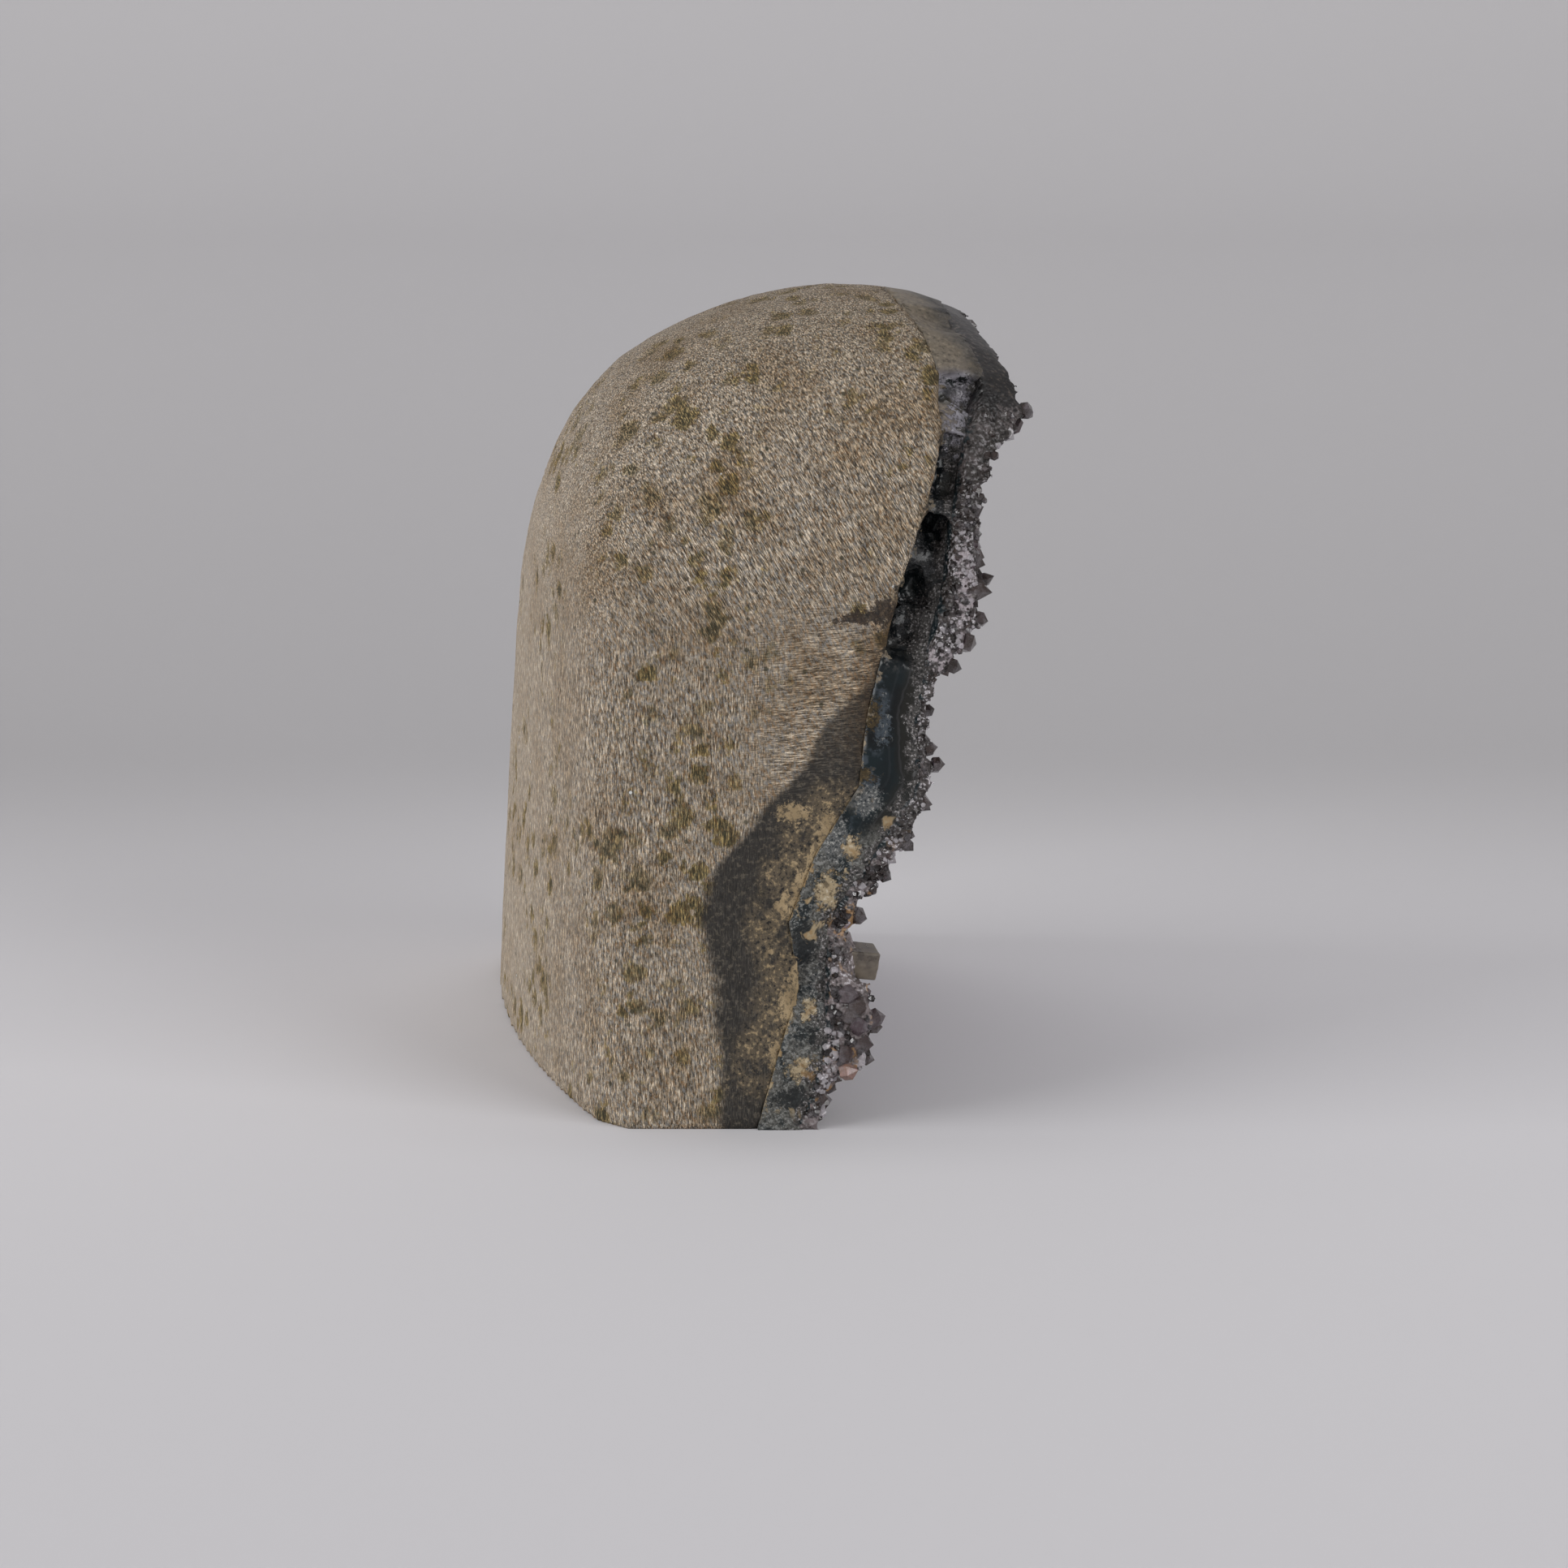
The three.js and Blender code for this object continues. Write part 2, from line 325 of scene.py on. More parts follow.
def bump(height, depth, strength):
    return put("ShaderNodeBump", {"Height": height, "Distance": depth * mm, "Strength": strength}).outputs[0]


# effects that more than one mineral shows

def newGroup(name, ins, outs):
    group = bpy.data.node_groups.new(name, "ShaderNodeTree")
    for socket, value in ins.items():
        kind = "NodeSocketVector" if value is None else "NodeSocketFloat"
        made = group.interface.new_socket(socket, in_out="INPUT", socket_type=kind)
        if value is not None:
            made.default_value = value
    for socket in outs:
        group.interface.new_socket(socket, in_out="OUTPUT", socket_type="NodeSocketFloat")
    drawing["tree"] = group
    return group, group.nodes.new("NodeGroupInput").outputs, group.nodes.new("NodeGroupOutput").inputs


def useGroup(group, inputs):
    return put("ShaderNodeGroup", inputs, node_tree=group).outputs


def makeSpeckle():  # fine light and dark mineral grains
    group, given, made = newGroup("mineralSpeckle", {"Place": None, "Span": 0.5}, ("Light", "Dark"))
    inputs = {"Vector": given["Place"], "Scale": maths("DIVIDE", 1.0, given["Span"]),
              "Detail": 3.0, "Roughness": 0.65}
    fine = put("ShaderNodeTexNoise", inputs).outputs["Fac"]
    feed(made["Light"], step(fine, 0.53, 0.66))
    feed(made["Dark"], step(fine, 0.47, 0.35))
    return group


def makeClay():  # beige clay left in veins and patches along the edge of the agate
    ins = {"Place": None, "Distance": 0.0, "Reach": 5.0, "Vein": 0.6, "Amount": 0.5}
    group, given, made = newGroup("clayStain", ins, ("Mask",))
    away = ragged(given["Distance"], given["Place"], 1.8, 4.2, 5)
    vein = step(minus(away, given["Vein"]), 0.2, -0.1)
    patches = clouds(given["Place"], 3.4, 4, 0.6, 0.6)
    limit = minus(0.78, times(given["Amount"], 0.3))
    inPatch = step(minus(patches, limit), -0.015, 0.03)
    near = step(minus(away, given["Reach"]), 0.0, -2.5)
    feed(made["Mask"], most(vein, times(inPatch, near)))
    return group


def makePatch():  # one ragged patch around a point of the near end
    group, given, made = newGroup("raggedPatch", {"Place": None, "Centre": None, "Radius": None}, ("Mask",))
    inputs = {"Vector": given["Place"], "Scale": 0.7, "Detail": 4.0, "Roughness": 0.65}
    shift = vectors("SUBTRACT", put("ShaderNodeTexNoise", inputs).outputs["Color"], (0.5, 0.5, 0.5))
    moved = vectors("ADD", given["Place"], scaled(shift, 3.2))
    moved = vectors("DIVIDE", vectors("SUBTRACT", moved, given["Centre"]), given["Radius"])
    far = put("ShaderNodeVectorMath", {0: moved}, operation="LENGTH").outputs["Value"]
    feed(made["Mask"], step(ragged(far, given["Place"], 0.6, 3.4, 5, 0.8), 1.1, 0.8))
    return group


speckleGroup = makeSpeckle()
clayGroup = makeClay()
patchGroup = makePatch()


def speckles(place, spans):
    grains = {}
    for name, span in spans.items():
        made = useGroup(speckleGroup, {"Place": place, "Span": span})
        grains[name + "Light"] = made["Light"]
        grains[name + "Dark"] = made["Dark"]
    return grains


nearLean = 0.2126  # the near end leans back by this for each millimetre of rise
patchDepth = 14.0  # how deep a patch of the near end goes


def nearEnd(x, z):  # a place on the near end
    return (x, nearLean * z - 52, z)


# how far in from the edges of the crystal face: its two broken ends and the crown
edges = {
    "farEnd": 52,
    "farLean": 0.3,
    "farCount": 2.2,  # the far end and the crown count for less
    "crownTop": 100,
    "crownMiddle": (12.33, -4),
    "crownFall": (0.0145, 0.0112),  # drop per square millimetre along x and y
    "crownCount": 2.2,
}


def underCrown(x, y, z):
    (midX, midY), (fallX, fallY) = edges["crownMiddle"], edges["crownFall"]
    return edges["crownTop"] - fallX * (x - midX) ** 2 - fallY * (y - midY) ** 2 - z


def depthOf(place):
    x, y, z = place
    far = edges["farEnd"] - edges["farLean"] * z - y
    return min(y - nearEnd(0, z)[1], edges["farCount"] * far, edges["crownCount"] * underCrown(x, y, z))


def patch(place, spot, depth=0.0):
    x, z, wide, tall = spot
    centre = Vector(nearEnd(x, z)) + Vector((0, depth, 0))
    return useGroup(patchGroup, {"Place": place, "Centre": centre, "Radius": (wide, patchDepth, tall)})["Mask"]


# ground basalt

basalt = {
    "grid": (0.66, 8),  # voxel and rounds of smoothing
    "uneven": ((0.25, 24), (0.10, 6.5), (0.045, 0.9)),  # height and span of what grinding left
    "pitDepth": 0.25,
    "pitSpan": 3.4,
    "pitSize": 0.46,  # share of the span
    "pitSizes": 0.9,  # how much they differ
    "swarmSpan": 15,
    "join": (1.1, 0.12),  # reach and overlap at the contact
    "joinCalm": (0.3, 1.5),  # even this near the agate
    # scratches: turn in degrees, and how fine along x, y and z
    "upright": (0, (7.0, 3.5, 0.85)),
    "level": (4, (0.85, 3.5, 7.0)),
    "slanted": (30, (6.8, 3.5, 0.9)),
    "slantedDepth": 1.25,
    "levelFromX": (-4, 10),
    "levelFromZ": (18, 34),
    "slantedFromZ": (55, 72),
    "wander": 16,  # span and reach of the borders between them
    "hueStrokes": ((0, 20, 0), (4.0, 4.0, 1.3)),
    "grindColours": [(0.33, (24, 19, 13)), (0.43, (74, 64, 51)), (0.50, (118, 106, 91)),
                     (0.57, (166, 150, 128)), (0.67, (240, 225, 203))],
    "steel": (128, 129, 130),
    "orange": (158, 118, 74),
    "warm": (214, 194, 160),
    "grains": {"fine": 0.55},  # span
    "grainDark": (82, 70, 52),
    "grainLight": (206, 196, 178),
    # painted light: a paler colour towards the back, seen on the left
    "paintedSideLight": (180, 166, 147),
    "paintedSideLightFromX": (-18, -32),
    # painted shade: the crown is darkened towards the top
    "shade": (242, 240, 236),
    "paintedCrownShadeFromZ": (84, 97),
    "olive": (198, 182, 108),  # stains what is under it
    "pitColour": (42, 40, 20),
    "fleck": (206, 206, 204),
    "band": ((34, 31, 28), ("fineDark", 0.8, (20, 18, 17)), ("fineLight", 0.4, (110, 101, 87))),
    "bandStroke": (86, 79, 70),
    "bandFade": (42, 52),
    "stain": (176, 152, 116),
    "stainHeights": (42, 48, 61, 68),
    "crumb": ((98, 86, 68), ("fineLight", 1, (168, 146, 110)), ("fineDark", 1, (20, 18, 17))),
    "clay": (170, 149, 115),
    "clayShade": (148, 128, 96),
    "clayGrain": (98, 82, 60),
    "clayHeights": (2, 8, 40, 44),
    "rust": (82, 64, 40),
    "rustFromZ": (40, 50),
    "chip": (36, 32, 27),  # broken out along the contact
    "chipsUnderZ": (90, 86),
    # painted shade of the notch, dark brown
    "notch": ((40, 29, 20), ("fineLight", 0.7, (92, 74, 54)), ("fineDark", 1, (18, 14, 11))),
    # places on the near end: x, z, half width and half height
    "notchSpots": [(12.4, 62.2, 2.2, 0.6), (14.7, 62.6, 1.7, 1.0), (16.7, 63.2, 1.5, 1.9)],
    "claySpots": [(5.5, 38.6, 2.2, 1.2), (9.5, 36.0, 0.9, 3.2), (7.3, 30.2, 2.0, 0.9), (4.6, 15.0, 0.9, 3.2),
                  (3.3, 8.6, 1.2, 1.8)],
    # width of the dark band along the agate and of the clay at the contact, by height over the base
    "bandWidth": [(0, 4.5), (8, 6.5), (18, 10), (28, 11), (35, 9.5), (45, 7), (52, 3.5), (58, 0.4), (100, 0)],
    "clayWidth": [(0, 0), (11, 0), (14, 1.6), (18, 1.9), (21, 0.9), (25, 0.7), (28, 1.7), (33, 1.8), (38, 1.5),
                  (42, 0.5), (46, 0), (100, 0)],
}


def shapeBasalt(agateBvh):
    piece, places, normals = finePiece("ground_basalt", "host_rock", *basalt["grid"])
    away = distanceTo(agateBvh, places)
    height = sum(tall * noiseAt(places, span, n) for n, (tall, span) in enumerate(basalt["uneven"]))
    swarms = ramp(noiseAt(places, basalt["swarmSpan"], 5.0), -0.35, 0.15)
    clots = [noise.voronoi(Vector(p) / basalt["pitSpan"] + 0.25 * noise.noise_vector(Vector(p) / 1.6))
             for p in places]
    sizes = [basalt["pitSize"] * (1 + basalt["pitSizes"] * noise.noise(middles[0] * 5.1))
             for reaches, middles in clots]
    inClot = np.array([reaches[0] for reaches, middles in clots]) / sizes
    pits = swarms * (1 - ramp(inClot, 0.2, 1.25))
    height -= basalt["pitDepth"] * pits
    places += normals * (height * overBase(places) * ramp(away, *basalt["joinCalm"]))[:, None]
    closeJoin(places, agateBvh, *basalt["join"])
    flatten(places)
    return save(piece, places, {"agateDistance": away, "pit": pits})


def basaltFinish():
    material, place, x, y, z = newMaterial("groundBasalt")
    away = layer("agateDistance")
    grains = speckles(place, basalt["grains"])

    # scratches of the grinding wheel: upright low down, level beside the agate, slanted near the crown
    lean = math.degrees(math.atan(nearLean))  # they lie in the leaning end
    upright, level, slanted = [clouds(turned(place, (lean, turn, 0), fineness), 1, 3, 0.75)
                               for turn, fineness in (basalt["upright"], basalt["level"], basalt["slanted"])]
    slanted = plus(swing(slanted, basalt["slantedDepth"]), 0.5)  # the deepest
    wander = swing(clouds(place, basalt["wander"]), basalt["wander"])
    zWander = plus(z, wander)
    beside = times(step(plus(x, wander), *basalt["levelFromX"]), step(zWander, *basalt["levelFromZ"]))
    scratch = mixValue(beside, upright, level)
    scratch = mixValue(step(zWander, *basalt["slantedFromZ"]), scratch, slanted)
    colour = colours(scratch, basalt["grindColours"])

    # grey and orange strokes among the brown ones, warm patches, painted light towards the back, painted shade
    # over the crown
    hue = clouds(turned(place, *basalt["hueStrokes"]), 1, 2, 0.6)
    colour = coats(colour, (step(hue, 0.5, 0.66), 0.6, basalt["steel"]),
                   (step(hue, 0.46, 0.34), 0.4, basalt["orange"]))
    colour = blend(times(blots(place, 9, 0.44, 0.7, 3, 0.55), 0.6), colour, basalt["warm"], "MULTIPLY")
    # the last of these coats is painted light, lighter towards the back
    colour = coats(colour, (grains["fineDark"], 0.35, basalt["grainDark"]),
                   (grains["fineLight"], 0.25, basalt["grainLight"]),
                   (step(x, *basalt["paintedSideLightFromX"]), 0.3, basalt["paintedSideLight"]))
    # painted shade multiplied over the crown, darker towards the top
    colour = blend(step(z, *basalt["paintedCrownShadeFromZ"]), colour, basalt["shade"], "MULTIPLY")

    # olive clots of weathered mineral in the pits, darkest in the middle
    pit = layer("pit")
    clotted = plus(pit, times(swing(clouds(place, 1.1, 5, 0.8), 3.2), step(pit, 0.0, 0.2)))
    strong = step(clouds(place, 7), 0.38, 0.62, 0.5, 0.85)
    colour = blend(times(step(clotted, 0.22, 0.6), strong), colour, basalt["olive"], "MULTIPLY")
    cores = times(step(clotted, 0.55, 1.0), step(scratch, 0.58, 0.46, 0.1, 1.0))
    holes = cells(place, 0.42)
    some = put("ShaderNodeSeparateColor", {0: holes["Color"]}).outputs
    hole = times(step(holes["Distance"], 0.17, 0.08), step(some[0], 0.6, 0.7))
    fleck = times(step(holes["Distance"], 0.11, 0.06), step(some[1], 0.9, 0.93))
    colour = coats(colour, (cores, 0.8, basalt["pitColour"]), (hole, 0.8, basalt["pitColour"]),
                   (fleck, 1, basalt["fleck"]))

    # dark band beside the agate, with its own speckle, and a brown stain along the upper contact
    edge = ragged(away, place, 4, 4, rough=0.65)
    inBand = step(minus(edge, widthAt(z, basalt["bandWidth"])), 0.8, -0.8)
    dark = coats(grained(grains, basalt["band"]), (step(scratch, 0.5, 0.75), 0.4, basalt["bandStroke"]))
    colour = coats(colour, (inBand, step(z, *basalt["bandFade"], 0.97, 0.75), dark))
    stain = times(step(edge, 4.8, 0.6), zone(zWander, *basalt["stainHeights"]), 0.7)
    colour = blend(stain, colour, basalt["stain"], "MULTIPLY")

    # a paler crumbly strip between the band and the agate, then clay at the contact
    low = zone(z, *basalt["clayHeights"])
    crumbs = times(low, step(edge, 6.5, 3.5), blots(place, 2.6, 0.34, 0.54, 4, 0.7))
    vein = minus(widthAt(z, basalt["clayWidth"]), 0.7)
    inputs = {"Place": place, "Distance": away, "Reach": 4.5, "Vein": vein, "Amount": 0.5}
    clay = times(useGroup(clayGroup, inputs)["Mask"], low)
    clay = most(clay, *[times(patch(place, spot), 0.9) for spot in basalt["claySpots"]])
    clay = times(clay, step(clouds(place, 0.9, 4, 0.75), 0.38, 0.5, 0.2, 1.0))
    dusty = coats(basalt["clay"], (blots(place, 2.2, 0.4, 0.6, 3, 0.6), 1, basalt["clayShade"]),
                  (grains["fineDark"], 0.7, basalt["clayGrain"]))
    colour = coats(colour, (crumbs, 0.8, grained(grains, basalt["crumb"])), (clay, 1, dusty))

    # rust and dark chips along the upper contact, and painted shade in the notch
    high = step(z, *basalt["rustFromZ"])
    rusty = times(high, step(away, 1.5, 0.2), blots(place, 3, 0.35, 0.6, 3))
    chips = times(high, step(ragged(away, place, 2.4, 7.5), 0.4, 0.1), step(z, *basalt["chipsUnderZ"]))
    colour = coats(colour, (rusty, 0.8, basalt["rust"]), (chips, 0.85, basalt["chip"]))
    hollow = grained(grains, basalt["notch"])
    for spot in basalt["notchSpots"]:
        colour = coats(colour, (patch(place, spot), 0.9, hollow))

    height = minus(scratch, times(most(hole, cores), 0.5))
    return finish(material, {"Base Color": colour, "Roughness": step(scratch, 0.35, 0.65, 0.9, 0.72),
                             "Normal": bump(height, 0.14, 0.7)})


# agate band

darkAgate = (14, 17, 19)
tealAgate = (19, 30, 34)
blueAgate = (66, 73, 80)
paleAgate = (136, 136, 133)
agateClay = (164, 147, 118)
agate = {
    "grid": (0.52, 4),
    "brokenFrom": 57,  # above this height the agate is broken, below it is ground
    "eyeFrom": 36,  # and below this it is grainy
    "breakDepth": 1.7,
    "breakSpan": 5.5,
    "shellDepth": 0.5,
    "shellSpan": 2.4,
    "grainHeight": 0.16,
    "join": (1.0, 0.15),
    "joinCalm": (0.25, 1.1),
    "groundFacing": (0.45, 0.7),  # the crown is ground across the agate too
    "groundFromZ": (80, 88),
    "ior": 1.54,
    "wander": 7,
    "grains": {"fine": 0.62, "tiny": 0.32},
    "smoke": (34, 32, 28),
    "grey": (130, 127, 133),
    "grainPale": (84, 83, 79),
    "glassGrey": (46, 46, 44),
    # painted glints on the glassy breaks
    "paintedGlint": (138, 132, 128),
    "thinHeights": (80, 85, 91, 95),
    "thinRim": (116, 116, 112),
    "clayHeights": (1, 5, 36, 42),
    "clayRust": (138, 108, 68),
    "grit": ((66, 63, 61), ("tinyLight", 0.9, (160, 156, 156)), ("tinyDark", 1, darkAgate)),
    # grey painted sheen where the crown is ground across the agate
    "sheenOnCrown": (80, 76, 71),  # where the crown is ground across it
    "polishedDark": (31, 30, 29),
    "crownEdge": ((112, 102, 88), ("fineDark", 0.7, (60, 52, 41)), ("fineLight", 0.4, (164, 150, 128))),
    "crumb": ((112, 102, 88), ("fineDark", 1, (52, 44, 34)), ("fineLight", 0.6, (170, 154, 130))),
    "crumbsFromZ": (38, 46),
    "facet": (158, 155, 162),
    "facetShade": (132, 129, 136),
    "facetTopZ": (90, 88.5),
    # places on the near end: x, z, half width and half height
    "facetSpot": (27.4, 85.0, 2.9, 5.4),
    "gritSpot": (22.2, 60.4, 2.6, 4.6),
    # dents: the same and their depth
    "dents": [(26.4, 90.0, 2.2, 0.8, 1.8), (22.9, 72.6, 2.0, 3.2, 2.6), (20.3, 65.4, 2.6, 3.6, 3.0)],
    "dentInward": 12.0,
    "dentLip": (1.35, 1.25),  # the edge of a dent is this much wider and higher
    "dentFloor": (0.95, 0.95),
    "lip": ((62, 62, 63), ("tinyLight", 1, (146, 144, 146))),
    # painted shade inside the dents
    "hollow": ((16, 21, 23), ("fineLight", 0.5, (56, 60, 60))),
    # marks: share, paint and places
    "marks": {
        "dark": (0.9, (darkAgate, ("fineLight", 0.4, tealAgate)),
                 [(7.0, 23.0, 1.8, 3.0), (5.9, 3.8, 3.2, 1.5), (8.7, 11.5, 1.6, 1.5)]),
        "blue": (0.85, (blueAgate, ("fineLight", 1, paleAgate), ("tinyDark", 1, tealAgate)),
                 [(16.7, 49.6, 1.0, 3.0), (15.1, 42.6, 1.0, 1.6)]),
        "snow": (0.85, ((92, 93, 93), ("tinyDark", 1, tealAgate), ("tinyLight", 1, (168, 167, 162))),
                 [(14.9, 40.2, 1.7, 2.0), (10.7, 35.4, 2.0, 2.8), (8.9, 16.5, 1.4, 3.5)]),
        "ochre": (0.9, ((64, 52, 31), ("tinyLight", 1, (104, 86, 54)), ("fineDark", 1, (36, 31, 22))),
                  [(14.9, 50.9, 1.6, 2.0), (13.7, 43.2, 2.0, 1.0)]),
        "clay": (0.9, (agateClay, ("fineLight", 1, (196, 184, 162)), ("fineDark", 0.8, (92, 80, 62))),
                 [(12.8, 34.2, 1.2, 1.5), (9.8, 28.9, 1.6, 2.6), (11.4, 25.4, 1.6, 1.3), (7.5, 14.5, 0.9, 1.2),
                  (7.0, 7.4, 2.0, 1.6)]),
    },
}


def shapeAgate(rockBvh, crustBvh):
    piece, places, normals = finePiece("agate_rim", "agate_band", *agate["grid"])
    toRock = distanceTo(rockBvh, places)
    toCrust = distanceTo(crustBvh, places)
    z = places[:, 2]
    openEdge = ramp(np.minimum(toRock, toCrust), *agate["joinCalm"]) * overBase(places)
    broken = ramp(z, agate["brokenFrom"] - 3, agate["brokenFrom"] + 3)
    grainy = 1 - ramp(z, agate["eyeFrom"] - 3, agate["eyeFrom"] + 2)
    hollows = -agate["breakDepth"] * ramp(noiseAt(places, agate["breakSpan"], 3.0), -0.35, 0.35)
    shells = -agate["shellDepth"] * np.abs(noiseAt(places, agate["shellSpan"], 9.0))
    bumps = agate["grainHeight"] * (noiseAt(places, 0.9, 1.0) + 1.3 * noiseAt(places, 2.6, 2.0))
    ground = ramp(normals[:, 2], *agate["groundFacing"]) * ramp(z, *agate["groundFromZ"])
    height = broken * (1 - ground) * (hollows + shells) + grainy * bumps
    for x, tall, wide, high, depth in agate["dents"]:
        far = np.linalg.norm((places - nearEnd(x, tall)) / (wide, agate["dentInward"], high), axis=1)
        height -= depth * (1 - ramp(far, 0.35, 1.1))
    places += normals * (height * openEdge)[:, None]
    for bvh in (rockBvh, crustBvh):
        closeJoin(places, bvh, *agate["join"])
    flatten(places)
    return save(piece, places, {"rockDistance": toRock, "crustDistance": toCrust, "ground": ground})


def agateFinish():
    material, place, x, y, z = newMaterial("darkAgate")
    toRock = layer("rockDistance")
    toCrust = layer("crustDistance")
    soft = clouds(place, 5, 3, 0.55)
    wander = swing(soft, agate["wander"])
    zWander = plus(z, wander)
    grainy = step(zWander, agate["eyeFrom"] + 1.5, agate["eyeFrom"] - 1.5)
    broken = step(zWander, agate["brokenFrom"] - 1.5, agate["brokenFrom"] + 1.5)
    grains = speckles(place, agate["grains"])

    # smooth dark eye with bands that follow the crust
    rings = maths("SINE", plus(times(toCrust, 4.2), times(soft, 11)))
    line = times(step(rings, 0.72, 0.98), step(toCrust, 5, 1.5))
    bluish = times(step(toRock, 2.8, 0.8), blots(place, 2.6, 0.5, 0.62, 3, 0.6))
    eye = coats(darkAgate, (step(soft, 0.35, 0.65), 1, tealAgate),
                (step(toCrust, 3.2, 1.6), 0.75, agate["smoke"]), (line, 0.07, agate["grey"]),
                (bluish, 0.7, blueAgate))

    # grainy chalcedony low down
    darkGrain = most(grains["fineDark"], grains["tinyDark"])
    lightGrain = most(grains["fineLight"], grains["tinyLight"])
    grain = coats(tealAgate, (blots(place, 4.5, 0.4, 0.54, 4, 0.65), 1, agate["grainPale"]),
                  (darkGrain, 0.75, darkAgate), (lightGrain, 0.7, paleAgate))

    # glassy breaks high up, grey where they are thin, with painted glints
    thin = times(zone(zWander, *agate["thinHeights"]), step(soft, 0.38, 0.52))
    paintedGlints = times(grains["fineLight"], blots(place, 3.5, 0.5, 0.62))
    rim = times(step(toRock, 0.7, 0.3), step(soft, 0.45, 0.55))
    glassy = coats(darkAgate, (blots(place, 2.6, 0.5, 0.56, 4, 0.65), 0.8, agate["glassGrey"]),
                   (thin, 1, agate["grey"]), (paintedGlints, 0.45, agate["paintedGlint"]), (rim, 1, agate["thinRim"]))
    colour = blend(broken, blend(grainy, eye, grain), glassy)

    # single marks of the near end, the pale facet under the crown, and dents with a grainy lip and painted
    # shade inside
    marks = {}
    for name, (share, paint, spots) in agate["marks"].items():
        marks[name] = most(*[patch(place, spot) for spot in spots])
        colour = coats(colour, (marks[name], share, grained(grains, paint)))
    facet = patch(place, agate["facetSpot"])
    flecked = coats(agate["facet"], (step(soft, 0.4, 0.6), 1, agate["facetShade"]),
                    (blots(place, 0.9, 0.62, 0.68, 3, 0.7), 1, darkAgate))
    colour = coats(colour, (facet, 0.9, flecked))
    lip = grained(grains, agate["lip"])
    hollow = grained(grains, agate["hollow"])
    for across, tall, wide, high, depth in agate["dents"]:
        outer, inner = [patch(place, (across, tall, moreWide * wide, moreHigh * high))
                        for moreWide, moreHigh in (agate["dentLip"], agate["dentFloor"])]
        colour = coats(colour, (outer, 0.6, lip), (inner, 1, hollow))

    # granular towards the crust, clay towards the rock
    gritty = most(patch(place, agate["gritSpot"]), step(ragged(toCrust, place, 1.6, 7.0), 1.6, 0.8))
    inputs = {"Place": place, "Distance": toRock, "Reach": 9.0, "Vein": 0.2, "Amount": 0.42}
    clay = times(useGroup(clayGroup, inputs)["Mask"], zone(zWander, *agate["clayHeights"]))
    crusted = most(clay, marks["clay"])
    rusty = times(crusted, blots(place, 1.5, 0.5, 0.62, 4, 0.65))
    colour = coats(colour, (gritty, 1, grained(grains, agate["grit"])), (clay, 0.85, agateClay),
                   (rusty, 0.6, agate["clayRust"]))

    # the ground crown, dark agate with painted sheen, stained beside the rock, and crumbs of rock left along
    # the contact
    inFacet = times(facet, step(z, *agate["facetTopZ"]))
    ground = times(layer("ground"), step(inFacet, 0.8, 0.2))
    # painted sheen: grey blotches over the crown's own dark colour
    sheenOnCrown = coats(agate["polishedDark"], (blots(place, 3.0, 0.4, 0.6, 4, 0.6), 1, agate["sheenOnCrown"]),
                     (step(plus(toRock, wander), 6.5, 2.0), 1, grained(grains, agate["crownEdge"])))
    crumbs = times(step(ragged(toRock, place, 2.4, 6.0), 0.45, 0.05), step(zWander, *agate["crumbsFromZ"]))
    colour = coats(colour, (ground, 0.88, sheenOnCrown), (crumbs, 1, grained(grains, agate["crumb"])))

    clayHere = most(crusted, marks["ochre"])
    dull = mixValue(grainy, mixValue(broken, 0.34, 0.2), 0.55)
    dull = mixValue(most(clayHere, times(gritty, 0.5)), dull, 0.85)
    dull = mixValue(crumbs, mixValue(ground, dull, 0.5), 0.85)

    # pebbly grain, clay that stands proud, and scooped breaks with sharp ridges
    pebble = plus(clouds(place, 0.8, 3, 0.6), times(clouds(place, 2.5), 1.5))
    pebbly = mixValue(most(grainy, gritty), mixValue(broken, 0.06, 0.2), 0.8)
    scoops = times(cells(place, 0.42)["Distance"], broken, mixValue(most(facet, ground), 4.0, 0.3))
    height = plus(plus(times(pebble, pebbly), times(clayHere, 1.2)), scoops)
    return finish(material, {"Base Color": colour, "Roughness": dull, "IOR": agate["ior"],
                             "Specular IOR Level": 0.3, "Normal": bump(height, 0.22, 0.8)})


# blocky grey crystal low on the crust

quartzIor = 1.544
block = {
    "size": (8.3, 4.3, 3.6),
    "place": (11.73, -42.5, 19.6),  # its middle
    "turn": (0.12, 0.14, 0.2),
    "edge": 0.22,
    "uneven": (0.12, 1.1),  # height and span
    "shrink": 0.3,  # the bed under it is drawn in by this share
    "shrinkWithin": ((0.6, 1.8), (3.8, 3.2), (3.4, 2.8)),  # of its middle, along x, y and z
    "clear": 3.2,  # no points this far over or under it
    "clearFromX": 10.8,
    "clearAhead": (-5, 12),
    "grey": (96, 87, 79),
    "pale": (142, 130, 115),
}


